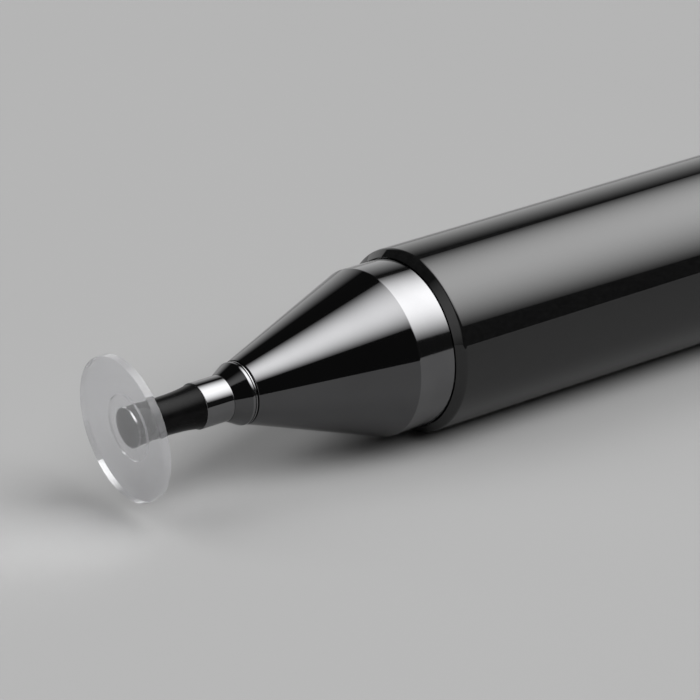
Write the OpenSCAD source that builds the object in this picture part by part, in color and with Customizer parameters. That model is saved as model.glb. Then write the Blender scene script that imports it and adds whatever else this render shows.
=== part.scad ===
// Disc-tip stylus pen. The pen lies along X with its tip towards -X.
// X = 0 is the plane of the barrel's mouth, where the cap seats, and the axis is Y = Z = 0.

/* [Barrel] */
// Outside diameter of the barrel and of the cap
barrel_d = 9; // [8.6:0.1:12]
// Length of the barrel tube
barrel_len = 92; // [70:1:130]
// Wall of the barrel tube
barrel_wall = 0.38; // [0.34:0.01:0.45]
// Rounding behind the bevel at the tube ends
lip_round = 0.23; // [0.1:0.01:0.26]

/* [Nose] */
// Length of each spigot that the cap slides on, outside the barrel
spigot_len = 2.06; // [1.6:0.02:3]
// Length of the conical part of the nose
cone_len = 7.48; // [5:0.02:12]
// Diameter of the small end of the cone
cone_front_d = 3.04; // [2.9:0.02:3.4]
// Bore through the rear of the nose
nose_bore_d = 5; // [3:0.1:5.6]
// Width of the parting groove between cone and collar
groove_w = 0.05; // [0.03:0.01:0.12]

/* [Collar] */
// Diameter of the collar's rim
collar_d = 3; // [2.8:0.02:3.2]
// Length of the collar's rim
collar_rim_len = 0.26; // [0.25:0.01:0.5]
// Length of the collar's conical front
collar_cone_len = 0.77; // [0.5:0.01:1.5]
// Diameter of the collar's screwed tail
collar_tail_d = 2.44; // [2.2:0.02:2.5]
// Length of the collar's screwed tail
collar_tail_len = 2.5; // [1.5:0.1:3.5]

/* [Neck and ferrule] */
// Outside diameter of the ferrule
ferrule_d = 2.2; // [2:0.02:2.4]
// Length of the ferrule
ferrule_len = 1.55; // [1.3:0.05:2.5]
// Edge chamfer of the ferrule and the collar
edge_chamfer = 0.05; // [0.02:0.01:0.08]
// Length of the neck in front of the ferrule
neck_len = 2.47; // [1.41:0.02:3.01]
// Diameter of the neck behind the disc
neck_front_d = 1.82; // [1.8:0.02:2]
// Diameter of the neck where it meets the ferrule
neck_rear_d = 2.12; // [1.9:0.02:2.18]
// Diameter of the spigots inside the ferrule
core_d = 1.5; // [1.4:0.02:1.6]
// Diameter of the stem that plugs into the collar
stem_d = 1.6; // [1.5:0.02:1.8]
// Length of the stem inside the collar
stem_len = 3; // [1.5:0.1:3.4]

/* [Ball joint and disc] */
// Diameter of the clear disc
disc_d = 7; // [6:0.1:8]
// Thickness of the clear disc
disc_t = 0.4; // [0.25:0.01:0.4]
// Diameter of the raised boss on the disc's back
boss_d = 3.2; // [2.4:0.05:3.4]
// Height of the boss
boss_h = 0.15; // [0.1:0.01:0.3]
// Diameter of the ball
ball_d = 1.06; // [1.02:0.02:1.1]
// Diameter of the ball pin's shank
pin_d = 0.44; // [0.4:0.02:0.48]
// Distance from the disc's face to the middle of the ball
ball_inset = 1.16; // [1.16:0.01:1.4]
// Distance from the middle of the ball to the neck's front edge
ball_setback = 0.4; // [0.4:0.01:0.5]
// Diameter of the black socket where it is bonded into the boss
socket_d = 1.92; // [1.86:0.02:2]
// How far the socket reaches past the middle of the ball
socket_grip = 0.33; // [0.28:0.01:0.34]
// How far the disc leans on its ball, in degrees
disc_lean = 6.3; // [0:0.1:12]
// Which way the disc leans, in degrees round the pen
disc_lean_turn = 38; // [0:1:90]

/* [Cap] */
// Wall of the cap tube
cap_wall = 0.38; // [0.34:0.01:0.45]
// Length of the cap tube
cap_len = 30; // [27:0.5:40]
// Depth of the cap from its mouth to the floor that shields the disc
cap_depth = 18.2; // [17.5:0.1:19]
// Depth from the mouth to the front of the inner cap
inner_cap_setback = 3.8; // [3.8:0.1:5]
// Bore of the inner cap
inner_cap_bore = 7.3; // [7.2:0.05:7.5]
// Diameter of the crown
crown_d = 8.8; // [8:0.1:9]
// Length of the crown
crown_len = 2.9; // [2.4:0.1:5]
// Rounding of the crown's edge
crown_round = 0.9; // [0.3:0.1:1.2]
// Diameter of the crown screw
screw_d = 2.5; // [2:0.1:3]
// Length of the crown screw under its head
screw_len = 7; // [4:0.5:8]

/* [Clip] */
// Width of the clip
clip_w = 3.2; // [2.6:0.1:4]
// Thickness of the clip's strip
clip_t = 0.7; // [0.5:0.05:0.8]
// Length of the clip's arm
clip_len = 28; // [22:0.5:30]
// Gap between the clip's arm and the cap
clip_gap = 1.05; // [0.9:0.05:1.6]
// Thickness of the clip's ring
clip_ring_t = 0.5; // [0.4:0.05:0.8]

/* [Hidden] */

round_fn = 96;    // sides that stand for a round in a preview
ring_fn = 24;     // and for the small round of the o-ring
arc_steps = 8;    // steps in a small rounding
overrun = 0.5;    // how far a cut runs past the face that it opens

// Clearances
slide_clear = 0.04;    // the cap over a spigot, on the radius
press_clear = 0.02;    // a piece that is pressed, bonded or screwed in, on the radius
turn_clear = 0.03;     // the ball pin in its bore and the ball in its socket, on the radius
seat_clear = 0.05;     // between two pieces that meet end to end
guide_clear = 0.15;    // the rear spigot's pilot in the inner cap, on the radius

register_clear = 0.12; // the nose's register inside the barrel's mouth, on the radius
ring_clear = 0.01;     // the o-ring in the collar and in its groove

// Threads are drawn as rings of this pitch and depth
thread_pitch = 0.5;
thread_depth = 0.12;
fine_pitch = 0.3;
fine_depth = 0.08;

barrel_r = barrel_d / 2;
bore_r = barrel_r - barrel_wall;
cap_bore_r = barrel_r - cap_wall;
spigot_r = cap_bore_r - slide_clear;

// Inside the barrel's ends, from the mouth inwards
register_len = 0.8;
tenon_len = 8;
magnet_len = 2.5;
insert_len = 6;
insert_wall = 0.75;
register_r = bore_r - register_clear;
tenon_r = bore_r - insert_wall;
magnet_x = register_len + seat_clear;
insert_x = magnet_x + magnet_len + seat_clear;

// Flat rim that is left round the bore at the tube ends, inside the bevel
lip_flat = 0.03;

// Fine groove round the collar's rim, and the line of rim in front of it
line_len = 0.12;
line_groove_w = 0.05;
line_groove_depth = 0.04;

// Stations of the tip, from the barrel's mouth forwards
cone_rear_x = -spigot_len;
cone_front_x = cone_rear_x - cone_len;
collar_rear_x = cone_front_x - groove_w;
collar_rim_x = collar_rear_x - collar_rim_len;
collar_front_x = collar_rim_x - collar_cone_len;
ferrule_front_x = collar_front_x - ferrule_len;
neck_front_x = ferrule_front_x - neck_len;
ball_x = neck_front_x - ball_setback;
face_x = ball_x - ball_inset;

// The neck's outline
neck_curve = 3.2;      // power of the flare from the front to the ferrule
neck_tail_len = 0.75;

// The ball pin's captive head, and the pocket for it in the stem
pin_head_d = 0.9;
pin_head_len = 0.3;

// The ball's seat in the socket, the round outside of the socket, and the neck's cup that it turns in
seat_r = ball_d / 2 + turn_clear;
socket_shell_r = 0.93;
neck_cup_r = socket_shell_r + turn_clear;

// The bore of the nose widens behind the collar's tail
nose_flare_x = cone_rear_x - seat_clear;
collar_bore_r = stem_d / 2 + press_clear;

// The o-ring that grips the stem in the collar
ring_section_d = 0.36;
ring_share = 0.6;      // where it sits along the stem
ring_r = collar_bore_r - ring_clear - ring_section_d / 2;
ring_x = collar_front_x + seat_clear + stem_len * ring_share;

// The rear spigot ends in a pilot that steadies the posted cap
pilot_len = 4;
pilot_chamfer = 0.4;
pilot_floor = 2;       // wall that closes the rear spigot
pilot_r = inner_cap_bore / 2 - guide_clear;

// The cap, posted on the rear spigot
cap_x = barrel_len + seat_clear;
cap_floor_t = 1.2;
cap_end_x = cap_x + cap_len;
screw_head_d = 4.6;
screw_head_len = 1.2;
screw_slot_w = 0.6;
screw_slot_depth = 0.5;
screw_hole_spare = 1;  // depth of the tapped hole past the screw's end
crown_x = cap_end_x + clip_ring_t;

// The clip, from the pen's axis outwards
clip_under_r = barrel_r + clip_gap;
clip_top_r = clip_under_r + clip_t;
clip_ring_d = 8.6;
clip_foot_lift = 0.25; // clearance of the clip's foot over the cap
clip_foot_len = 3.2;
clip_tip_rise = 1.1;   // how far the end turns up past the foot
clip_heel_cut = 0.35;  // chamfer at the clip's outer corners
// Turned about the pen until the clip's lower corner is level with the underside of the barrel
clip_corner_r = norm([clip_w / 2, clip_top_r]);
clip_turn = 180 - acos(barrel_r / clip_corner_r) - atan(clip_w / 2 / clip_top_r);

// Turns an outline of [radius, station] points about the pen's axis
module turned(outline) {
    rotate([0, 90, 0])
        rotate_extrude($fn = round_fn)
            polygon(outline);
}

// A plain round bore or bar from station a to station b
module round_bar(radius, a, b) {
    translate([a, 0, 0])
        rotate([0, 90, 0])
            cylinder(r = radius, h = b - a, $fn = round_fn);
}

// A plain ring
module round_ring(outer_r, inner_r, a, b) {
    difference() {
        round_bar(outer_r, a, b);
        round_bar(inner_r, a - overrun, b + overrun);
    }
}

// Outline points of a quarter round about [r, x], from angle a to angle b
function arc_points(r, x, size, a, b) =
    [for (i = [0:arc_steps])
        let (t = a + (b - a) * i / arc_steps)
        [r + size * cos(t), x + size * sin(t)]];

// Outline points of a ringed thread from station a to station b, between two radii
function thread_points(major_r, depth, pitch, a, b) =
    let (n = floor((b - a) / pitch))
    [for (i = [0:n - 1])
        for (p = [[major_r - depth, a + i * pitch], [major_r, a + (i + 1 / 2) * pitch]])
            p];

// A tube of the barrel's diameter, with ends that are bevelled halfway to square and then rounded
module rounded_tube(inner_r, a, b) {
    bevel_a = 45;
    round_r = barrel_r - lip_round;
    flat_r = inner_r + lip_flat;
    bevel = round_r + lip_round * cos(bevel_a) - flat_r;
    lip_len = bevel + lip_round * sin(bevel_a);
    turned(concat(
        [[inner_r, a], [flat_r, a]],
        arc_points(round_r, a + lip_len, lip_round, -bevel_a, 0),
        arc_points(round_r, b - lip_len, lip_round, 0, bevel_a),
        [[flat_r, b], [inner_r, b]]));
}

// Places what belongs to the disc, drawn upright, with its lean about the ball
module leaned() {
    translate([ball_x, 0, 0])
        rotate([disc_lean_turn, 0, 0])
            rotate([0, -disc_lean, 0])
                translate([-ball_x, 0, 0])
                    children();
}

// Clear disc that touches the screen, with a boss that holds the socket
module tip_disc() {
    back_x = face_x + disc_t;
    recess_r = socket_d / 2 + press_clear;
    color([0.80, 0.82, 0.84, 0.35])
        leaned()
            turned([
                [0, face_x],
                [disc_d / 2, face_x],
                [disc_d / 2, back_x],
                [boss_d / 2, back_x],
                [boss_d / 2, back_x + boss_h],
                [recess_r, back_x + boss_h],
                [recess_r, back_x],
                [0, back_x]]);
}

// Black socket behind the disc, which snaps over the ball and is round behind
module disc_socket() {
    front_x = face_x + disc_t + press_clear;
    // Where the seat and the shell end, as an angle about the ball's middle
    rim_a = asin(socket_grip / seat_r);
    color([0.04, 0.04, 0.045])
        leaned()
            turned(concat(
                arc_points(0, ball_x, seat_r, rim_a, -90),
                [[0, front_x], [socket_d / 2, front_x]],
                arc_points(0, ball_x, socket_shell_r, 0, rim_a)));
}

// Ball and shank, held in the neck by a captive head
module ball_pin() {
    tail_x = ferrule_front_x + neck_tail_len + seat_clear;
    color([0.45, 0.46, 0.48])
        union() {
            translate([ball_x, 0, 0])
                sphere(d = ball_d, $fn = round_fn);
            round_bar(pin_d / 2, ball_x, tail_x + pin_head_len);
            round_bar(pin_head_d / 2, tail_x, tail_x + pin_head_len);
        }
}

// Radius of the neck at a share of its flare
function neck_r(share) =
    (neck_front_d + (neck_rear_d - neck_front_d) * pow(share, neck_curve)) / 2;

// Flared black neck, with a cup in front for the socket and a tail inside the ferrule
module neck_sleeve() {
    bore = pin_d / 2 + turn_clear;
    // Where the cup starts and ends, as angles about the ball's middle
    bore_a = acos(bore / neck_cup_r);
    edge_a = asin(ball_setback / neck_cup_r);
    tail_x = ferrule_front_x + neck_tail_len;
    color([0.04, 0.04, 0.045])
        turned(concat(
            arc_points(0, ball_x, neck_cup_r, bore_a, edge_a),
            [for (i = [0:arc_steps * 2])
                let (share = i / arc_steps / 2)
                [neck_r(share), neck_front_x + share * neck_len]],
            [[core_d / 2, ferrule_front_x], [core_d / 2, tail_x], [bore, tail_x]]));
}

// Bright ring that joins the neck to the stem
module ferrule() {
    inner = core_d / 2 + press_clear;
    outer = ferrule_d / 2;
    color([0.62, 0.63, 0.65])
        turned([
            [inner, ferrule_front_x],
            [outer - edge_chamfer, ferrule_front_x],
            [outer, ferrule_front_x + edge_chamfer],
            [outer, collar_front_x - edge_chamfer],
            [outer - edge_chamfer, collar_front_x],
            [inner, collar_front_x]]);
}

// Stem of the tip, pushed into the collar
module tip_stem() {
    front_x = ferrule_front_x + neck_tail_len + seat_clear;
    shank_x = collar_front_x + seat_clear;
    end_x = shank_x + stem_len;
    pocket_x = front_x + pin_head_len + seat_clear;
    pocket_r = pin_head_d / 2 + turn_clear;
    groove = ring_section_d / 2 + ring_clear;
    color([0.78, 0.62, 0.30])
        difference() {
            turned([
                [0, front_x],
                [core_d / 2, front_x],
                [core_d / 2, shank_x],
                [stem_d / 2, shank_x],
                [stem_d / 2, ring_x - groove],
                [ring_r - groove, ring_x - groove],
                [ring_r - groove, ring_x + groove],
                [stem_d / 2, ring_x + groove],
                [stem_d / 2, end_x - edge_chamfer],
                [stem_d / 2 - edge_chamfer, end_x],
                [0, end_x]]);
            round_bar(pocket_r, front_x - overrun, pocket_x);
        }
}

// Rubber ring that grips the stem in the collar
module tip_o_ring() {
    color([0.03, 0.03, 0.03])
        translate([ring_x, 0, 0])
            rotate([0, 90, 0])
                rotate_extrude($fn = round_fn)
                    translate([ring_r, 0, 0])
                        circle(d = ring_section_d, $fn = ring_fn);
}

// Front collar of the nose, which holds the stem
module nose_collar() {
    rim_r = collar_d / 2;
    groove_r = rim_r - line_groove_depth;
    groove_a = collar_rim_x + line_len;
    groove_b = groove_a + line_groove_w;
    tail_r = collar_tail_d / 2;
    tail_x = collar_rear_x + collar_tail_len;
    color([0.13, 0.13, 0.14])
        difference() {
            turned(concat(
                [[0, collar_front_x],
                 [ferrule_d / 2, collar_front_x],
                 [rim_r - edge_chamfer, collar_rim_x],
                 [rim_r, collar_rim_x + edge_chamfer],
                 [rim_r, groove_a],
                 [groove_r, groove_a],
                 [groove_r, groove_b],
                 [rim_r, groove_b],
                 [rim_r, collar_rear_x - edge_chamfer],
                 [rim_r - edge_chamfer, collar_rear_x]],
                thread_points(tail_r, fine_depth, fine_pitch, collar_rear_x, tail_x),
                [[tail_r - fine_depth, tail_x], [0, tail_x]]));
            round_bar(collar_bore_r, collar_front_x - overrun, tail_x + overrun);
        }
}

// Nose: cone, spigot for the cap, and screwed tenon
module nose_cone() {
    bore = nose_bore_d / 2;
    tail_bore = collar_tail_d / 2 + press_clear;
    tail_x = collar_rear_x + collar_tail_len + seat_clear;
    color([0.13, 0.13, 0.14])
        turned(concat(
            [[tail_bore, cone_front_x],
             [cone_front_d / 2 - edge_chamfer, cone_front_x],
             [cone_front_d / 2, cone_front_x + edge_chamfer],
             [spigot_r, cone_rear_x],
             [spigot_r, 0],
             [register_r, 0],
             [register_r, register_len]],
            thread_points(tenon_r, thread_depth, thread_pitch, register_len, tenon_len),
            [[tenon_r - thread_depth, tenon_len],
             [bore, tenon_len],
             [bore, nose_flare_x],
             [tail_bore, tail_x]]));
}

// Ring magnet round a tenon
module end_magnet(x) {
    color([0.66, 0.66, 0.68])
        round_ring(bore_r - press_clear, tenon_r + press_clear, x, x + magnet_len);
}

// Brass bush in an end of the barrel
module end_insert(x) {
    color([0.78, 0.62, 0.30])
        round_ring(bore_r - press_clear, tenon_r + press_clear, x, x + insert_len);
}

module front_magnet() {
    end_magnet(magnet_x);
}

module front_insert() {
    end_insert(insert_x);
}

module rear_magnet() {
    end_magnet(barrel_len - magnet_x - magnet_len);
}

module rear_insert() {
    end_insert(barrel_len - insert_x - insert_len);
}

// Black tube that is held in the hand
module barrel() {
    color([0.08, 0.08, 0.085])
        rounded_tube(bore_r, 0, barrel_len);
}

// Rear spigot, on which the cap is posted
module rear_spigot() {
    tenon_x = barrel_len - tenon_len;
    register_x = barrel_len - register_len;
    shoulder_x = barrel_len + spigot_len;
    end_x = shoulder_x + pilot_len;
    bore = nose_bore_d / 2;
    color([0.13, 0.13, 0.14])
        difference() {
            turned(concat(
                [[0, tenon_x]],
                thread_points(tenon_r, thread_depth, thread_pitch, tenon_x, register_x),
                [[tenon_r - thread_depth, register_x],
                 [register_r, register_x],
                 [register_r, barrel_len],
                 [spigot_r, barrel_len],
                 [spigot_r, shoulder_x],
                 [pilot_r, shoulder_x],
                 [pilot_r, end_x - pilot_chamfer],
                 [pilot_r - pilot_chamfer, end_x],
                 [0, end_x]]));
            round_bar(bore, tenon_x - overrun, end_x - pilot_floor);
        }
}

// Outer tube of the cap
module cap_tube() {
    color([0.08, 0.08, 0.085])
        rounded_tube(cap_bore_r, cap_x, cap_end_x);
}

// Plastic inner cap that shields the disc and takes the crown's screw
module inner_cap() {
    front_x = cap_x + inner_cap_setback;
    floor_x = cap_x + cap_depth;
    hole_x = cap_end_x - screw_len - screw_hole_spare;
    outer = cap_bore_r - press_clear;
    color([0.11, 0.11, 0.12])
        difference() {
            round_bar(outer, front_x, cap_end_x);
            round_bar(inner_cap_bore / 2, front_x - overrun, floor_x);
            round_bar(screw_d / 2 + press_clear, max(hole_x, floor_x + cap_floor_t), cap_end_x + overrun);
        }
}

// Places what belongs to the clip, drawn on the pen's upper side
module clip_side() {
    rotate([clip_turn, 0, 0])
        children();
}

// Ring and root of the clip, clamped under the crown
module clip_ring() {
    root_len = clip_top_r - clip_heel_cut;
    color([0.15, 0.15, 0.16])
        clip_side()
            difference() {
                union() {
                    round_bar(clip_ring_d / 2, cap_end_x, crown_x);
                    translate([cap_end_x, -clip_w / 2, 0])
                        cube([clip_ring_t, clip_w, root_len]);
                    translate([cap_end_x, 0, 0])
                        rotate([90, 0, 0])
                            linear_extrude(height = clip_w, center = true)
                                polygon([
                                    [0, 0],
                                    [0, clip_top_r],
                                    [clip_ring_t - clip_heel_cut, clip_top_r],
                                    [clip_ring_t, root_len],
                                    [clip_ring_t, 0]]);
                }
                round_bar(screw_d / 2 + press_clear, cap_end_x - overrun, crown_x + overrun);
            }
}

// Springy arm of the clip, with a foot that rests near the cap
module clip_arm() {
    root_x = cap_end_x - seat_clear;
    foot_x = root_x - clip_len + clip_foot_len;
    end_x = root_x - clip_len;
    foot_r = barrel_r + clip_foot_lift;
    color([0.15, 0.15, 0.16])
        clip_side()
            rotate([90, 0, 0])
                linear_extrude(height = clip_w, center = true)
                    polygon([
                        [root_x, clip_top_r],
                        [root_x, clip_under_r],
                        [foot_x + clip_foot_len, clip_under_r],
                        [foot_x + clip_foot_len / 4, foot_r],
                        [foot_x - clip_foot_len / 4, foot_r],
                        [end_x, foot_r + clip_tip_rise],
                        [end_x + clip_t / 2, foot_r + clip_tip_rise + clip_t / 2],
                        [foot_x, foot_r + clip_t],
                        [foot_x + clip_foot_len, clip_top_r]]);
}

// Slotted screw that clamps the clip's ring to the inner cap
module crown_screw() {
    head_x = crown_x;
    color([0.60, 0.60, 0.62])
        difference() {
            union() {
                turned(concat(
                    [[0, cap_end_x - screw_len]],
                    thread_points(screw_d / 2, fine_depth, fine_pitch, cap_end_x - screw_len, head_x),
                    [[screw_d / 2 - fine_depth, head_x], [0, head_x]]));
                round_bar(screw_head_d / 2, head_x, head_x + screw_head_len);
            }
            translate([head_x + screw_head_len - screw_slot_depth, -screw_slot_w / 2, -screw_head_d])
                cube([screw_slot_depth + overrun, screw_slot_w, 2 * screw_head_d]);
        }
}

// Button that covers the screw and closes the cap
module crown() {
    outer = crown_d / 2;
    end_x = crown_x + crown_len;
    pocket_r = screw_head_d / 2 + press_clear;
    pocket_x = crown_x + screw_head_len + seat_clear;
    color([0.13, 0.13, 0.14])
        turned(concat(
            [[pocket_r, crown_x],
             [outer - edge_chamfer, crown_x],
             [outer, crown_x + edge_chamfer]],
            arc_points(outer - crown_round, end_x - crown_round, crown_round, 0, 90),
            [[0, end_x], [0, pocket_x], [pocket_r, pocket_x]]));
}

tip_disc();
disc_socket();
ball_pin();
neck_sleeve();
ferrule();
tip_stem();
tip_o_ring();
nose_collar();
nose_cone();
front_magnet();
front_insert();
barrel();
rear_insert();
rear_magnet();
rear_spigot();
cap_tube();
inner_cap();
clip_ring();
clip_arm();
crown_screw();
crown();
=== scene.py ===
from math import acos, asin, cos, degrees, pi, radians, sin

import bmesh
import bpy
from mathutils import Matrix, Vector

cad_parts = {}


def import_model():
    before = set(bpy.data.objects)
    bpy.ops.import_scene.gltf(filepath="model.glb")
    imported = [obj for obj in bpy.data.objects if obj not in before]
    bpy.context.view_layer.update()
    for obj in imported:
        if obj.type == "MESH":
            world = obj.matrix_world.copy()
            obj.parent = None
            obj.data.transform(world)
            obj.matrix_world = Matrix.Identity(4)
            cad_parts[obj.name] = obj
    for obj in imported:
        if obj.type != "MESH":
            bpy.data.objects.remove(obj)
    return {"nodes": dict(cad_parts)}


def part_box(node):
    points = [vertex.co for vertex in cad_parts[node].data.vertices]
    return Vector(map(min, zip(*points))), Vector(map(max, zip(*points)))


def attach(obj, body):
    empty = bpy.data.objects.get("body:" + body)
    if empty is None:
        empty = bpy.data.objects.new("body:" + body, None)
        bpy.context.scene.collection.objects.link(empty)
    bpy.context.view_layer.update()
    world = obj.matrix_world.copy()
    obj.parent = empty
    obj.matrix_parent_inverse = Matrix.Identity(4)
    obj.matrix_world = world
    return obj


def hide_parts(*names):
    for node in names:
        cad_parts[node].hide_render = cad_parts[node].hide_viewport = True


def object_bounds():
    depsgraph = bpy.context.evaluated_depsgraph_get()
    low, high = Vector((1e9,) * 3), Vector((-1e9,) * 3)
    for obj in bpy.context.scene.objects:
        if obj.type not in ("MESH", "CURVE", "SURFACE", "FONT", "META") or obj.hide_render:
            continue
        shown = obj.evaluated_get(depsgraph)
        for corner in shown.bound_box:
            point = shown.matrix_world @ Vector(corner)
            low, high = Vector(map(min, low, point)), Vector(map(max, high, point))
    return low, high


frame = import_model()
cad_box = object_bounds()

MM = 0.001
MICRON = 0.000001

# How finely the shapes are cut
ROUND_SIDES = 256  # round the pen
ARC_STEPS = 10     # in a rounded lip
BEVEL_STEPS = 5    # in a softened edge
BEVEL_HOLD = 0.25  # extra length beside a softened edge that keeps the face next to it flat
NECK_STEPS = 24    # in the neck's flare
BALL_STEPS = 32    # in the arcs about the ball
CLIP_RING_STEPS = 96
CLIP_EDGE_STEPS = 3
CLIP_EDGE_PROFILE = 0.5  # which makes a bevelled edge round
AXIS_R = 1e-6      # a point of an outline with a smaller radius lies on the axis, in millimetres

# Corners that turn by more than these angles stay sharp, in degrees
SHARP = 30
COLLAR_SHARP = 15
CLIP_SHARP = 40

# An edge of the clip's ring that turns by more than this is bevelled, in degrees
CLIP_RIM_TURN = 60

# Sizes that the frame's boxes don't give, in millimetres
FINE_EDGE = 0.04

# The barrel's and the cap's tubes, with their bevelled and rounded mouths
TUBE_WALL = 0.38
LIP_R = 0.23
LIP_FLAT = 0.03
LIP_BEVEL = 45  # degrees

# The nose and the tail spigot, which screw into the barrel's bushes
SPIGOT_LEN = 2.06
REGISTER_R = 4.0
REGISTER_LEN = 0.8
TENON_R = 3.3
NOSE_BORE_R = 2.5
CONE_FRONT_R = 1.52
CONE_EDGE = 0.03
TAIL_BORE_R = 1.24
TAIL_SPARE = 0.05
PILOT_R = 3.5
PILOT_EDGE = 0.4
PILOT_FLOOR = 2

# The collar in front of the nose, with the line round its rim
GROOVE_W = 0.05  # between the collar's rim and the nose
COLLAR_FRONT_R = 1.1
COLLAR_RIM_LEN = 0.26
COLLAR_TAIL_R = 1.2
COLLAR_BORE_R = 0.82
LINE_LEN = 0.12
LINE_GROOVE_W = 0.05
LINE_GROOVE_DEPTH = 0.04
LINE_EDGE = 0.02

# The ferrule and the neck
FERRULE_BORE_R = 0.77
NECK_BORE_R = 0.25
NECK_CUP_R = 0.96
NECK_CUP_EDGE = 0.4
NECK_FRONT_R = 0.91
NECK_CURVE = 3.2  # the power by which the flare opens
NECK_TAIL_R = 0.75
NECK_TAIL_LEN = 0.75

# The ball and its pin
BALL_R = 0.53
BALL_INSET = 1.16
PIN_R = 0.22
PIN_HEAD_R = 0.45
PIN_HEAD_LEN = 0.3

# The disc and the socket bonded to it
DISC_R = 3.5
DISC_T = 0.4
DISC_EDGE = 0.02
BOSS_R = 1.6
BOSS_H = 0.15
RECESS_R = 0.98
SOCKET_FRONT_GAP = 0.02
SOCKET_R = 0.96
SOCKET_SHELL_R = 0.93
SOCKET_GRIP = 0.33
SEAT_R = 0.56
WALL_SLOPE = 0.5  # a face of the disc whose normal points less than this along the axis is a wall
LEAN = radians(6.3)
LEAN_TURN = radians(38)

# The cap's liner and crown
CAP_DEPTH = 18.2
INNER_CAP_BORE_R = 3.65
INNER_CAP_EDGE = LIP_R / 2
SCREW_HOLE_R = 1.27
SCREW_HOLE_LEN = 8
CROWN_ROUND = 0.9
CROWN_POCKET_R = 2.32
CROWN_POCKET_LEN = 1.25

# The clip, which is drawn upright and then turned round the pen
CLIP_W = 3.2
CLIP_T = 0.7
CLIP_UNDER_R = 5.55
CLIP_TOP_R = 6.25
CLIP_FOOT_LEN = 3.2
CLIP_FLAT_HALF = CLIP_FOOT_LEN / 4  # half of the foot's flat
CLIP_FOOT_R = 4.75
CLIP_TIP_RISE = 1.1
CLIP_RING_R = 4.3
CLIP_HEEL = 0.35
CLIP_EDGE = 0.1
CLIP_TURN = radians(119.87)


def ends(node):
    """The first and last station of a node along the pen, and its largest radius, in millimetres."""
    low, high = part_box(node)
    return low.x / MM, high.x / MM, high.z / MM


def arc(x, r, size, start, stop, steps=ARC_STEPS):
    """Points of an arc about (x, r) between two angles in degrees, where 0 is +X and 90 is outwards."""
    turns = [radians(start + (stop - start) * i / steps) for i in range(steps + 1)]
    return [(x + size * cos(t), r + size * sin(t)) for t in turns]


def softened(points, sizes):
    """The outline with each corner that has a size rounded, and held by a point on either side."""
    done = []
    for i, (point, size) in enumerate(zip(points, sizes)):
        if not size:
            done.append(point)
            continue
        corner = Vector(point)
        before = (Vector(points[i - 1]) - corner).normalized()
        after = (Vector(points[(i + 1) % len(points)]) - corner).normalized()
        done.append(tuple(corner + before * size * (1 + BEVEL_HOLD)))
        for step in range(BEVEL_STEPS + 1):
            t = step / BEVEL_STEPS
            done.append(tuple(corner + before * size * (1 - t) ** 2 + after * size * t ** 2))
        done.append(tuple(corner + after * size * (1 + BEVEL_HOLD)))
    return done


def ring(bm, x, r):
    """The vertices of one turned point of an outline, a single one where it lies on the axis."""
    if r < AXIS_R:
        return [bm.verts.new((x * MM, 0, 0))]
    turns = [2 * pi * i / ROUND_SIDES for i in range(ROUND_SIDES)]
    return [bm.verts.new((x * MM, r * MM * cos(t), r * MM * sin(t))) for t in turns]


def join(bm, first, second):
    """The faces between two rings, which are triangles where one of them is a single point."""
    for i in range(ROUND_SIDES):
        j = (i + 1) % ROUND_SIDES
        edge = [first[i % len(first)], first[j % len(first)]]
        facing = [second[j % len(second)], second[i % len(second)]]
        corners = list(dict.fromkeys(edge + facing))
        if len(corners) > 2:
            bm.faces.new(corners)


def place(name, mesh, material):
    """A new object in the scene, with this mesh and material."""
    mesh.materials.append(material)
    piece = bpy.data.objects.new(name, mesh)
    bpy.context.scene.collection.objects.link(piece)
    return piece


def smooth_piece(bm, name, material, sharp):
    """Turns a working mesh into a smooth object that keeps its sharp corners."""
    mesh = bpy.data.meshes.new(name)
    bm.to_mesh(mesh)
    bm.free()
    mesh.shade_smooth()
    mesh.set_sharp_from_angle(angle=radians(sharp))
    return place(name, mesh, material)


def lathe(name, outline, body, material, node, sharp=SHARP):
    """A solid that stands for a node, turned about the pen's axis from (station, radius) in millimetres."""
    bm = bmesh.new()
    rings = [ring(bm, x, r) for x, r in outline]
    for first, second in zip(rings, rings[1:] + rings[:1]):
        join(bm, first, second)
    bmesh.ops.recalc_face_normals(bm, faces=bm.faces)
    piece = smooth_piece(bm, name, material, sharp)
    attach(piece, body)
    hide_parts(node)
    return piece


# Materials

# Most of a noise's values lie between these two
NOISE_LOW = 0.3
NOISE_HIGH = 0.7

NOISE_DETAIL = 4.0
SMOOTH_DETAIL = 2.0

# The blue of a grey, as a share of its red and green
COOL = 1.02
NEUTRAL = 1.0
WARM = 0.98


def grey(value, blue=COOL):
    return (value, value, value * blue)


def even(scale):
    """The scale of a pattern that is the same every way."""
    return (scale, scale, scale)


def turned(along, across):
    """The scale of a pattern that is fine along the pen and long round it, like the marks of turning."""
    return (along, across, across)


class Material:
    """A new material, and short ways to add nodes to it."""

    def __init__(self, name):
        self.material = bpy.data.materials.new(name)
        self.material.use_nodes = True
        self.tree = self.material.node_tree

    def add(self, kind, **values):
        """A new node. Each value sets an input, or else a setting, with spaces written as underscores."""
        node = self.tree.nodes.new(kind)
        for key, value in values.items():
            socket = key.replace("_", " ")
            if socket in node.inputs:
                node.inputs[socket].default_value = value
            else:
                setattr(node, key, value)
        return node

    def link(self, a, b):
        self.tree.links.new(a, b)


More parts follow.
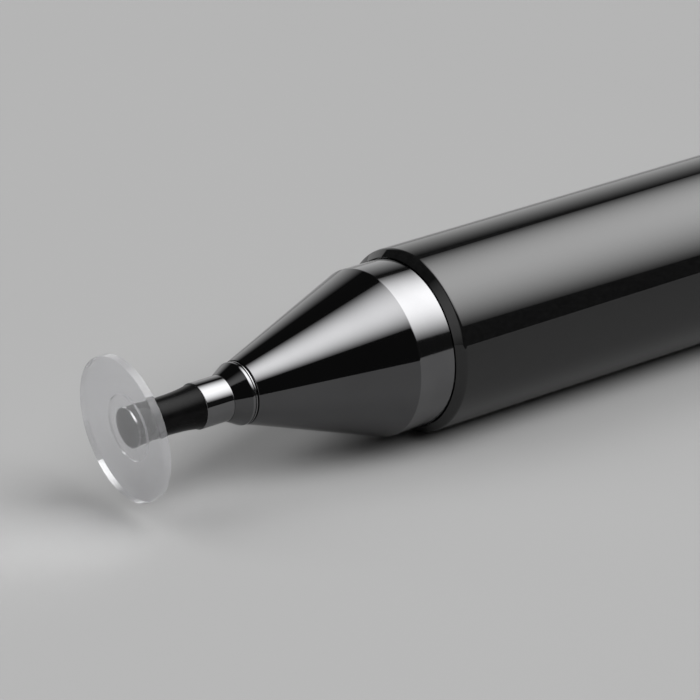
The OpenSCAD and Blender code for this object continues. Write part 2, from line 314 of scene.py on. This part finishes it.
class Finish(Material):
    """A material with a Principled shader, and what varies it over the surface."""

    def __init__(self, name, tone, rough, metallic=0.0, **inputs):
        super().__init__(name)
        self.shader = self.tree.nodes["Principled BSDF"]
        self.set("Base Color", (*tone, 1))
        self.set("Roughness", rough)
        self.set("Metallic", metallic)
        for key, value in inputs.items():
            self.set(key.replace("_", " "), value)

    def set(self, key, value):
        self.shader.inputs[key].default_value = value

    def drive(self, key, value):
        self.link(value, self.shader.inputs[key])

    def noise(self, scale, detail=NOISE_DETAIL):
        """Noise in the piece's own coordinates, stretched by scale."""
        node = self.add("ShaderNodeTexNoise", Scale=1.0, Detail=detail)
        where = self.add("ShaderNodeTexCoord")
        mapping = self.add("ShaderNodeMapping", Scale=scale)
        self.link(where.outputs["Object"], mapping.inputs["Vector"])
        self.link(mapping.outputs["Vector"], node.inputs["Vector"])
        return node.outputs["Fac"]

    def span(self, value, low, high):
        """A noise value spread between two numbers."""
        node = self.add(
            "ShaderNodeMapRange", From_Min=NOISE_LOW, From_Max=NOISE_HIGH, To_Min=low, To_Max=high)
        self.link(value, node.inputs["Value"])
        return node.outputs["Result"]

    def vary_rough(self, scale, low, high):
        self.drive("Roughness", self.span(self.noise(scale), low, high))

    def vary_tone(self, scale, dark, light):
        mix = self.add("ShaderNodeMix", data_type="RGBA")
        first, second = [socket for socket in mix.inputs if socket.type == "RGBA"]
        first.default_value = (*dark, 1)
        second.default_value = (*light, 1)
        result = [socket for socket in mix.outputs if socket.type == "RGBA"][0]
        self.link(self.span(self.noise(scale), 0.0, 1.0), mix.inputs["Factor"])
        self.drive("Base Color", result)

    def inside_and_out(self, key, outside, inside):
        """One value where light meets the surface from outside, and another where it does from inside."""
        side = self.add("ShaderNodeNewGeometry")
        node = self.add("ShaderNodeMapRange", To_Min=outside, To_Max=inside)
        self.link(side.outputs["Backfacing"], node.inputs["Value"])
        self.drive(key, node.outputs["Result"])

    def bump(self, scale, height, strength, detail=NOISE_DETAIL):
        node = self.add("ShaderNodeBump", Strength=strength, Distance=height)
        self.link(self.noise(scale, detail), node.inputs["Height"])
        self.drive("Normal", node.outputs["Normal"])


def black_chrome():
    """Dark plated mirror, with very fine turning marks round the pen."""
    m = Finish("black_chrome", tone=grey(0.1), rough=0.05, metallic=1.0)
    m.vary_tone(even(300), dark=grey(0.095), light=grey(0.105))
    m.vary_rough(turned(30000, 60), low=0.035, high=0.07)
    m.bump(turned(60000, 40), height=0.2 * MICRON, strength=0.2)
    return m.material


def band_chrome():
    """The lighter, finely turned plating of the bands and of the collar's rim."""
    m = Finish("band_chrome", tone=grey(0.155), rough=0.08, metallic=1.0)
    m.vary_tone(even(300), dark=grey(0.145), light=grey(0.165))
    m.vary_rough(turned(40000, 60), low=0.05, high=0.1)
    m.bump(turned(60000, 40), height=0.3 * MICRON, strength=0.3)
    return m.material


def bright_chrome():
    """The ferrule's bright plating."""
    m = Finish("bright_chrome", tone=grey(0.162), rough=0.06, metallic=1.0)
    m.vary_tone(even(500), dark=grey(0.153), light=grey(0.171))
    m.vary_rough(turned(40000, 80), low=0.04, high=0.09)
    m.bump(turned(60000, 60), height=0.2 * MICRON, strength=0.3)
    return m.material


def lacquer():
    """Clear gloss over gunmetal paint, with a trace of flow in the gloss."""
    m = Finish(
        "gunmetal_lacquer", tone=grey(0.005), rough=0.3, Specular_IOR_Level=0.0,
        Coat_Weight=1.0, Coat_Roughness=0.03, Coat_IOR=1.52)
    m.vary_tone(even(4000), dark=grey(0.004), light=grey(0.007))
    m.vary_rough(even(300), low=0.26, high=0.36)
    m.bump(even(500), height=0.8 * MICRON, strength=0.15, detail=SMOOTH_DETAIL)
    return m.material


def black_plastic():
    """Moulded black plastic with a fine satin grain."""
    m = Finish("black_plastic", tone=grey(0.004), rough=0.22, Specular_IOR_Level=0.065)
    m.vary_tone(even(3000), dark=grey(0.003), light=grey(0.005))
    m.vary_rough(even(9000), low=0.18, high=0.26)
    m.bump(even(25000), height=1 * MICRON, strength=0.2)
    return m.material


def clear(name, tone, dark, light):
    """Clear plastic: light goes almost straight through, with a faint haze and a glossy skin."""
    m = Finish(
        name, tone=tone, rough=0.02, Transmission_Weight=0.88, IOR=1.06,
        Coat_Weight=1.0, Coat_Roughness=0.01)
    m.vary_tone(even(900), dark=dark, light=light)
    m.vary_rough(even(900), low=0.01, high=0.03)
    m.bump(even(2500), height=0.4 * MICRON, strength=0.1, detail=SMOOTH_DETAIL)
    return m


def clear_plastic():
    """The disc's faces."""
    m = clear("clear_plastic", tone=grey(0.8), dark=grey(0.78), light=grey(0.82))
    m.set("Coat IOR", 1.5)
    return m.material


def clear_edge():
    """The disc's turned edge, which mirrors more light inside the plastic than outside."""
    m = clear("clear_edge", tone=grey(0.86), dark=grey(0.84), light=grey(0.88))
    m.inside_and_out("Coat IOR", outside=1.3, inside=2.6)
    return m.material


def polished_steel():
    """The ball and its pin, and the crown's screw."""
    m = Finish("polished_steel", tone=grey(0.42), rough=0.12, metallic=1.0)
    m.vary_tone(even(900), dark=grey(0.38), light=grey(0.46))
    m.vary_rough(turned(20000, 200), low=0.08, high=0.18)
    m.bump(turned(40000, 100), height=0.4 * MICRON, strength=0.3)
    return m.material


def brass():
    """Turned brass, with its tool marks."""
    m = Finish("turned_brass", tone=(0.6, 0.42, 0.16), rough=0.25, metallic=1.0)
    m.vary_tone(even(600), dark=(0.56, 0.39, 0.15), light=(0.64, 0.45, 0.18))
    m.vary_rough(turned(20000, 100), low=0.2, high=0.34)
    m.bump(turned(25000, 60), height=1 * MICRON, strength=0.4)
    return m.material


def rubber():
    """The o-ring's dull black rubber."""
    m = Finish("black_rubber", tone=grey(0.02), rough=0.6)
    m.vary_tone(even(2000), dark=grey(0.016), light=grey(0.026))
    m.vary_rough(even(6000), low=0.5, high=0.72)
    m.bump(even(12000), height=2 * MICRON, strength=0.3)
    return m.material


def nickel():
    """The magnets' warm plating."""
    m = Finish("nickel_plate", tone=grey(0.55, WARM), rough=0.22, metallic=1.0)
    m.vary_tone(even(800), dark=grey(0.5, WARM), light=grey(0.6, WARM))
    m.vary_rough(even(4000), low=0.16, high=0.3)
    m.bump(even(8000), height=0.8 * MICRON, strength=0.3)
    return m.material


BLACK_CHROME = black_chrome()
BAND_CHROME = band_chrome()
BRIGHT_CHROME = bright_chrome()
LACQUER = lacquer()
BLACK_PLASTIC = black_plastic()
CLEAR_PLASTIC = clear_plastic()
CLEAR_EDGE = clear_edge()
STEEL = polished_steel()
BRASS = brass()
RUBBER = rubber()
NICKEL = nickel()


# Stations of the ball and of the disc's face
ball_x = ends("ball_pin")[0] + BALL_R
face_x = ball_x - BALL_INSET


# The pieces that are turned


def band_from(piece, first, last):
    """Gives the faces between two stations the lighter plating."""
    piece.data.materials.append(BAND_CHROME)
    for face in piece.data.polygons:
        if first < face.center.x / MM < last:
            face.material_index = 1


def nose():
    front, rear, spigot_r = ends("nose_cone")
    bore_front = ends("nose_collar")[1] + TAIL_SPARE
    outline = [
        (front, TAIL_BORE_R),
        (front, CONE_FRONT_R),
        (-SPIGOT_LEN, spigot_r),
        (0, spigot_r),
        (0, REGISTER_R),
        (REGISTER_LEN, REGISTER_R),
        (REGISTER_LEN, TENON_R),
        (rear, TENON_R),
        (rear, NOSE_BORE_R),
        (-SPIGOT_LEN, NOSE_BORE_R),
        (bore_front, TAIL_BORE_R)]
    edges = [0, CONE_EDGE, FINE_EDGE, FINE_EDGE, 0, 0, 0, 0, 0, 0, 0]
    piece = lathe(
        "nose_cone_mirror", softened(outline, edges), "pen", BLACK_CHROME, "nose_cone")
    band_from(piece, -SPIGOT_LEN, 0)


def collar():
    front, rear, rim_r = ends("nose_collar")
    shoulder = ends("nose_cone")[0] - GROOVE_W
    rim = shoulder - COLLAR_RIM_LEN
    groove = rim + LINE_LEN
    bead = groove + LINE_GROOVE_W
    outline = [
        (front, COLLAR_BORE_R),
        (front, COLLAR_FRONT_R),
        (rim, rim_r),
        (groove, rim_r),
        (groove, rim_r - LINE_GROOVE_DEPTH),
        (bead, rim_r - LINE_GROOVE_DEPTH),
        (bead, rim_r),
        (shoulder, rim_r),
        (shoulder, COLLAR_TAIL_R),
        (rear, COLLAR_TAIL_R),
        (rear, COLLAR_BORE_R)]
    edges = [0, 0, FINE_EDGE, LINE_EDGE, 0, 0, LINE_EDGE, FINE_EDGE, 0, 0, 0]
    piece = lathe(
        "nose_collar_mirror", softened(outline, edges), "pen", BLACK_CHROME, "nose_collar",
        COLLAR_SHARP)
    band_from(piece, rim, shoulder)


def ferrule():
    front, rear, outer = ends("ferrule")
    outline = [(front, FERRULE_BORE_R), (front, outer), (rear, outer), (rear, FERRULE_BORE_R)]
    edges = [0, FINE_EDGE, FINE_EDGE, 0]
    lathe("ferrule_ring", softened(outline, edges), "tip", BRIGHT_CHROME, "ferrule")


def neck():
    front, rear, rear_r = ends("neck_sleeve")
    shoulder = rear - NECK_TAIL_LEN
    bore_angle = degrees(asin(NECK_BORE_R / NECK_CUP_R))
    edge_angle = degrees(acos(NECK_CUP_EDGE / NECK_CUP_R))
    shares = [i / NECK_STEPS for i in range(NECK_STEPS + 1)]
    curve = [
        (front + (shoulder - front) * share, NECK_FRONT_R + (rear_r - NECK_FRONT_R) * share ** NECK_CURVE)
        for share in shares]
    outline = [
        *arc(ball_x, 0, NECK_CUP_R, bore_angle, edge_angle),
        *curve,
        (shoulder, NECK_TAIL_R),
        (rear, NECK_TAIL_R),
        (rear, NECK_BORE_R)]
    lathe("neck_flare", outline, "tip", BLACK_PLASTIC, "neck_sleeve")


def tube(name, node, body):
    front, rear, outer = ends(node)
    inner = outer - TUBE_WALL
    flat_r = inner + LIP_FLAT
    centre = outer - LIP_R
    bevel = centre + LIP_R * sin(radians(LIP_BEVEL)) - flat_r
    lip = bevel + LIP_R * cos(radians(LIP_BEVEL))
    outline = [
        (front, inner),
        (front, flat_r),
        *arc(front + lip, centre, LIP_R, 180 - LIP_BEVEL, 90),
        *arc(rear - lip, centre, LIP_R, 90, LIP_BEVEL),
        (rear, flat_r),
        (rear, inner)]
    lathe(name, outline, body, LACQUER, node)


def rear_spigot():
    front, rear, spigot_r = ends("rear_spigot")
    seat = ends("barrel")[1]
    register = seat - REGISTER_LEN
    shoulder = seat + SPIGOT_LEN
    outline = [
        (front, NOSE_BORE_R),
        (front, TENON_R),
        (register, TENON_R),
        (register, REGISTER_R),
        (seat, REGISTER_R),
        (seat, spigot_r),
        (shoulder, spigot_r),
        (shoulder, PILOT_R),
        (rear, PILOT_R),
        (rear, 0),
        (rear - PILOT_FLOOR, 0),
        (rear - PILOT_FLOOR, NOSE_BORE_R)]
    edges = [0, 0, 0, 0, 0, FINE_EDGE, FINE_EDGE, 0, PILOT_EDGE, 0, 0, 0]
    piece = lathe(
        "rear_spigot_mirror", softened(outline, edges), "pen", BLACK_CHROME, "rear_spigot")
    band_from(piece, seat, shoulder)


def inner_cap():
    front, rear, outer = ends("inner_cap")
    floor_x = ends("cap_tube")[0] + CAP_DEPTH
    hole = rear - SCREW_HOLE_LEN
    outline = [
        (front, INNER_CAP_BORE_R),
        (front, outer),
        (rear, outer),
        (rear, SCREW_HOLE_R),
        (hole, SCREW_HOLE_R),
        (hole, 0),
        (floor_x, 0),
        (floor_x, INNER_CAP_BORE_R)]
    edges = [INNER_CAP_EDGE, FINE_EDGE, 0, 0, 0, 0, 0, 0]
    lathe("inner_cap_liner", softened(outline, edges), "cap", BLACK_PLASTIC, "inner_cap")


def crown():
    front, rear, outer = ends("crown")
    pocket = front + CROWN_POCKET_LEN
    outline = [
        *softened([(front, CROWN_POCKET_R), (front, outer), (rear, outer)], [0, FINE_EDGE, 0])[:-1],
        *arc(rear - CROWN_ROUND, outer - CROWN_ROUND, CROWN_ROUND, 90, 0),
        (rear, 0),
        (pocket, 0),
        (pocket, CROWN_POCKET_R)]
    lathe("crown_button", outline, "cap", BLACK_CHROME, "crown")


# The clip


def finish_clip(bm, name, edges, body, node):
    """Bevels the given edges, turns the piece to its place round the pen and makes it stand for its node."""
    bmesh.ops.recalc_face_normals(bm, faces=bm.faces)
    bmesh.ops.bevel(
        bm, geom=edges, offset=CLIP_EDGE * MM, segments=CLIP_EDGE_STEPS, profile=CLIP_EDGE_PROFILE,
        affect="EDGES")
    bmesh.ops.rotate(bm, verts=bm.verts, cent=(0, 0, 0), matrix=Matrix.Rotation(CLIP_TURN, 3, "X"))
    piece = smooth_piece(bm, name, BLACK_CHROME, CLIP_SHARP)
    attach(piece, body)
    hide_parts(node)


def spots_at(bm, x, spots):
    """Vertices at one station, from (y, z) spots in millimetres."""
    return [bm.verts.new((x * MM, y * MM, z * MM)) for y, z in spots]


def walls(bm, first, second):
    """The faces between two loops of as many vertices."""
    for i in range(len(first)):
        bm.faces.new((first[i - 1], first[i], second[i], second[i - 1]))


def round_spots(radius, turns):
    return [(radius * sin(t), radius * cos(t)) for t in turns]


def clip_arm():
    """The springy strip, with a foot that rests on the cap and a tip that rises from it."""
    low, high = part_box("clip_arm")
    end = low.x / MM
    root = high.x / MM
    foot = end + CLIP_FOOT_LEN
    heel = foot + CLIP_FOOT_LEN
    outline = [
        (root, CLIP_TOP_R),
        (root, CLIP_UNDER_R),
        (heel, CLIP_UNDER_R),
        (foot + CLIP_FLAT_HALF, CLIP_FOOT_R),
        (foot - CLIP_FLAT_HALF, CLIP_FOOT_R),
        (end, CLIP_FOOT_R + CLIP_TIP_RISE),
        (end + CLIP_T / 2, CLIP_FOOT_R + CLIP_TIP_RISE + CLIP_T / 2),
        (foot, CLIP_FOOT_R + CLIP_T),
        (heel, CLIP_TOP_R)]
    bm = bmesh.new()
    half = CLIP_W / 2
    sides = [[bm.verts.new((x * MM, y * MM, z * MM)) for x, z in outline] for y in (-half, half)]
    for side in sides:
        bm.faces.new(side)
    walls(bm, *sides)
    free = [edge for edge in bm.edges if min(vert.co.x for vert in edge.verts) < (root - CLIP_EDGE) * MM]
    finish_clip(bm, "clip_strip", free, "clip", "clip_arm")


def clip_ring():
    """The ring that the crown clamps, with the lug that carries the arm and a hole for the screw."""
    front, rear, _ = ends("clip_ring")
    half = CLIP_W / 2
    side = asin(half / CLIP_RING_R)
    turns = [side + (2 * pi - 2 * side) * i / CLIP_RING_STEPS for i in range(CLIP_RING_STEPS + 1)]
    # Two points of the hole face the lug's corners, and part the angle between its sides in three
    inner = side / 3
    hole_turns = turns + [2 * pi - inner, inner]
    bm = bmesh.new()
    loops = []
    for x, top in ((front, CLIP_TOP_R), (rear - CLIP_HEEL, CLIP_TOP_R), (rear, CLIP_TOP_R - CLIP_HEEL)):
        loops.append(spots_at(bm, x, round_spots(CLIP_RING_R, turns) + [(-half, top), (half, top)]))
    for x in (rear, front):
        loops.append(spots_at(bm, x, round_spots(SCREW_HOLE_R, hole_turns)))
    for first, second in zip(loops, loops[1:] + loops[:1]):
        walls(bm, first, second)
    bm.normal_update()
    rims = [edge for edge in bm.edges if edge.calc_face_angle() > radians(CLIP_RIM_TURN)]
    finish_clip(bm, "clip_collar", rims, "cap", "clip_ring")


# The disc on its ball


def leaned(piece):
    """Leans a piece that was turned upright about the ball, as the photographed disc leans."""
    ball = Vector((ball_x * MM, 0, 0))
    turn = Matrix.Rotation(LEAN_TURN, 4, "X") @ Matrix.Rotation(-LEAN, 4, "Y")
    piece.data.transform(Matrix.Translation(ball) @ turn @ Matrix.Translation(-ball))


def disc():
    back = face_x + DISC_T
    boss = back + BOSS_H
    outline = [
        (face_x, 0),
        (face_x, DISC_R),
        (back, DISC_R),
        (back, BOSS_R),
        (boss, BOSS_R),
        (boss, RECESS_R),
        (back, RECESS_R),
        (back, 0)]
    edges = [0, DISC_EDGE, DISC_EDGE, 0, DISC_EDGE, DISC_EDGE, 0, 0]
    piece = lathe("disc_lens", softened(outline, edges), "disc", CLEAR_PLASTIC, "tip_disc")
    piece.data.materials.append(CLEAR_EDGE)
    for face in piece.data.polygons:
        if abs(face.normal.x) < WALL_SLOPE:
            face.material_index = 1
    leaned(piece)


def socket():
    front = face_x + DISC_T + SOCKET_FRONT_GAP
    mouth_angle = degrees(acos(SOCKET_GRIP / SEAT_R))
    outline = [
        *softened([(front, 0), (front, SOCKET_R), (ball_x, SOCKET_SHELL_R)], [0, FINE_EDGE, 0]),
        *arc(ball_x, 0, SOCKET_SHELL_R, 90, mouth_angle, BALL_STEPS)[1:],
        *arc(ball_x, 0, SEAT_R, mouth_angle, 180, BALL_STEPS)]
    leaned(lathe("socket_cup", outline, "disc", BLACK_PLASTIC, "disc_socket"))


def ball_pin():
    rear = ends("ball_pin")[1]
    shank_angle = degrees(asin(PIN_R / BALL_R))
    outline = [
        *arc(ball_x, 0, BALL_R, 180, shank_angle, BALL_STEPS),
        (rear - PIN_HEAD_LEN, PIN_R),
        (rear - PIN_HEAD_LEN, PIN_HEAD_R),
        (rear, PIN_HEAD_R),
        (rear, 0)]
    lathe("ball_and_pin", outline, "pivot", STEEL, "ball_pin")


nose()
collar()
ferrule()
neck()
tube("barrel_tube", "barrel", "pen")
tube("cap_tube_outer", "cap_tube", "cap")
rear_spigot()
inner_cap()
crown()
clip_arm()
clip_ring()
disc()
socket()
ball_pin()


# The CAD nodes that stay as they are

DRESSED = {
    "tip_stem": BRASS,
    "tip_o_ring": RUBBER,
    "front_magnet": NICKEL,
    "rear_magnet": NICKEL,
    "front_insert": BRASS,
    "rear_insert": BRASS,
    "crown_screw": STEEL}


def dress(node, material):
    """Gives a CAD node its material."""
    mesh = frame["nodes"][node].data
    mesh.materials.clear()
    mesh.materials.append(material)


for node, material in DRESSED.items():
    dress(node, material)


# The stage: floor, reflection panels, lamps and world, in metres

FLOOR_SIZE = 20
WORLD_STRENGTH = 0.03
LAMP_DISTANCE = 3
LAMP_SIZE = 2.67
GLOW_STEPS = 16  # in a panel's fall of light

# Where a panel's dim end lies, as shares of its length
DIM_END_FROM = 0.169
DIM_END_TO = 0.215
DIM_END_SKEW = -0.091  # how far the dim end's edge leans across the panel


def flat(name, size_x, size_y, material):
    """A level rectangle that belongs to the stage."""
    x = size_x / 2
    y = size_y / 2
    mesh = bpy.data.meshes.new(name)
    mesh.from_pydata([(-x, -y, 0), (x, -y, 0), (x, y, 0), (-x, y, 0)], [], [(0, 1, 2, 3)])
    piece = place(name, mesh, material)
    return piece


def floor():
    """A wide, plain, pale floor under the pen."""
    m = Finish("floor_pale", tone=grey(0.45, NEUTRAL), rough=0.5, Specular_IOR_Level=0.0)
    m.vary_tone(even(8), dark=grey(0.44, NEUTRAL), light=grey(0.46, NEUTRAL))
    piece = flat("floor", FLOOR_SIZE, FLOOR_SIZE, m.material)
    piece.location = (0, 0, cad_box[0].z)


def fall_across(m, margin, power):
    """A ramp that is brightest along a panel's middle, with a soft fall to both long sides."""
    ramp = m.add("ShaderNodeValToRGB")
    elements = ramp.color_ramp.elements
    for i in range(1, GLOW_STEPS):
        elements.new(i / GLOW_STEPS)
    for element in elements:
        value = sin(pi * (margin + (1 - 2 * margin) * element.position)) ** power
        element.color = (value, value, value, 1)
    return ramp


def glow(name, peak, margin, power, dim_end):
    """A panel's light, with its fall across, and dimmer at one end by the factor dim_end."""
    m = Material(name)
    m.tree.nodes.clear()
    where = m.add("ShaderNodeTexCoord")
    split = m.add("ShaderNodeSeparateXYZ")
    ramp = fall_across(m, margin, power)
    skew = m.add("ShaderNodeMath", operation="MULTIPLY_ADD")
    skew.inputs[1].default_value = DIM_END_SKEW
    end = m.add(
        "ShaderNodeMapRange", interpolation_type="SMOOTHSTEP", From_Min=DIM_END_FROM, From_Max=DIM_END_TO,
        To_Min=peak * dim_end, To_Max=peak)
    light = m.add("ShaderNodeEmission")
    out = m.add("ShaderNodeOutputMaterial")
    m.link(where.outputs["Generated"], split.inputs["Vector"])
    m.link(split.outputs["Y"], ramp.inputs["Fac"])
    m.link(split.outputs["Y"], skew.inputs[0])
    m.link(split.outputs["X"], skew.inputs[2])
    m.link(skew.outputs["Value"], end.inputs["Value"])
    m.link(end.outputs["Result"], light.inputs["Strength"])
    m.link(ramp.outputs["Color"], light.inputs["Color"])
    m.link(light.outputs["Emission"], out.inputs["Surface"])
    return m.material


def panel(name, towards, along, distance, shift, length, width, material):
    """A card that only reflections see, square to the direction from the origin, shifted along its length."""
    piece = flat(name, length, width, material)
    out = Vector(towards).normalized()
    long = (Vector(along) - out * Vector(along).dot(out)).normalized()
    across = out.cross(long)
    turn = Matrix((long, across, out)).transposed().to_4x4()
    piece.matrix_world = Matrix.Translation(out * distance + long * shift) @ turn
    piece.visible_camera = False
    piece.visible_diffuse = False
    piece.visible_shadow = False


def panels():
    """The main card over the pen, one behind it, and a small one in front of the tip."""
    panel(
        "main_panel", towards=(0.62, -0.20, 0.76), along=(0.785, 0.209, -0.585),
        distance=0.6, shift=-0.076, length=1.752, width=1.03,
        material=glow("main_glow", peak=6.4, margin=0.04, power=1.5, dim_end=0.11))
    panel(
        "back_panel", towards=(0.371, 0.918, 0.139), along=(0.927, -0.375, 0),
        distance=0.7, shift=0, length=0.72, width=0.81,
        material=glow("back_glow", peak=0.86, margin=0, power=1.15, dim_end=1))
    panel(
        "front_panel", towards=(-0.8, -0.38, 0.45), along=(0.572, -0.46, 0.635),
        distance=0.6, shift=0, length=0.5, width=0.8,
        material=glow("front_glow", peak=1.0, margin=0, power=1, dim_end=1))


def lamp(name, towards, power):
    """A soft square lamp that reflections don't see."""
    data = bpy.data.lights.new(name, "AREA")
    data.shape = "SQUARE"
    data.size = LAMP_SIZE
    data.energy = power
    thing = bpy.data.objects.new(name, data)
    bpy.context.scene.collection.objects.link(thing)
    out = Vector(towards).normalized()
    thing.location = out * LAMP_DISTANCE
    thing.rotation_mode = "QUATERNION"
    thing.rotation_quaternion = out.to_track_quat("Z", "Y")
    thing.visible_glossy = False


def world():
    """A nearly dark room, which the black zones of the mirror pieces reflect."""
    scene_world = bpy.data.worlds.new("studio")
    bpy.context.scene.world = scene_world
    scene_world.use_nodes = True
    back = scene_world.node_tree.nodes["Background"]
    back.inputs["Color"].default_value = (1, 1, 1, 1)
    back.inputs["Strength"].default_value = WORLD_STRENGTH


# The photograph's view, fitted to its outlines
VIEW_RIGHT = (0.778, -0.628, 0.0)
VIEW_BACK = (-0.5797, -0.7185, 0.3843)
FOCAL_PX = 4328
FRAME_PX = 700
SENSOR = 36  # millimetres

# The camera's place, from the middle of the disc's face, in millimetres
VIEW_ASIDE = 10.26
VIEW_ABOVE = 3.55
VIEW_BEHIND = 194.84

# What lies between these distances is drawn, in metres
NEAR = 0.01
FAR = 20


def camera():
    """The photograph's view: fitted distance, direction and lens, with no shift."""
    right = Vector(VIEW_RIGHT).normalized()
    back = Vector(VIEW_BACK).normalized()
    up = back.cross(right)
    right = up.cross(back)
    disc_front = Vector((face_x * MM, 0, 0))
    data = bpy.data.cameras.new("camera")
    data.sensor_width = SENSOR
    data.lens = FOCAL_PX / FRAME_PX * SENSOR
    data.clip_start = NEAR
    data.clip_end = FAR
    thing = bpy.data.objects.new("camera", data)
    bpy.context.scene.collection.objects.link(thing)
    turn = Matrix((right, up, back)).transposed().to_4x4()
    spot = disc_front + (right * VIEW_ASIDE + up * VIEW_ABOVE + back * VIEW_BEHIND) * MM
    thing.matrix_world = Matrix.Translation(spot) @ turn
    bpy.context.scene.camera = thing


floor()
panels()
world()
lamp("key", towards=(0.3, -0.5, 0.8), power=94.4)
lamp("fill", towards=(-0.6, 0.4, 0.7), power=53.3)
camera()
bpy.context.scene.view_settings.view_transform = "Standard"
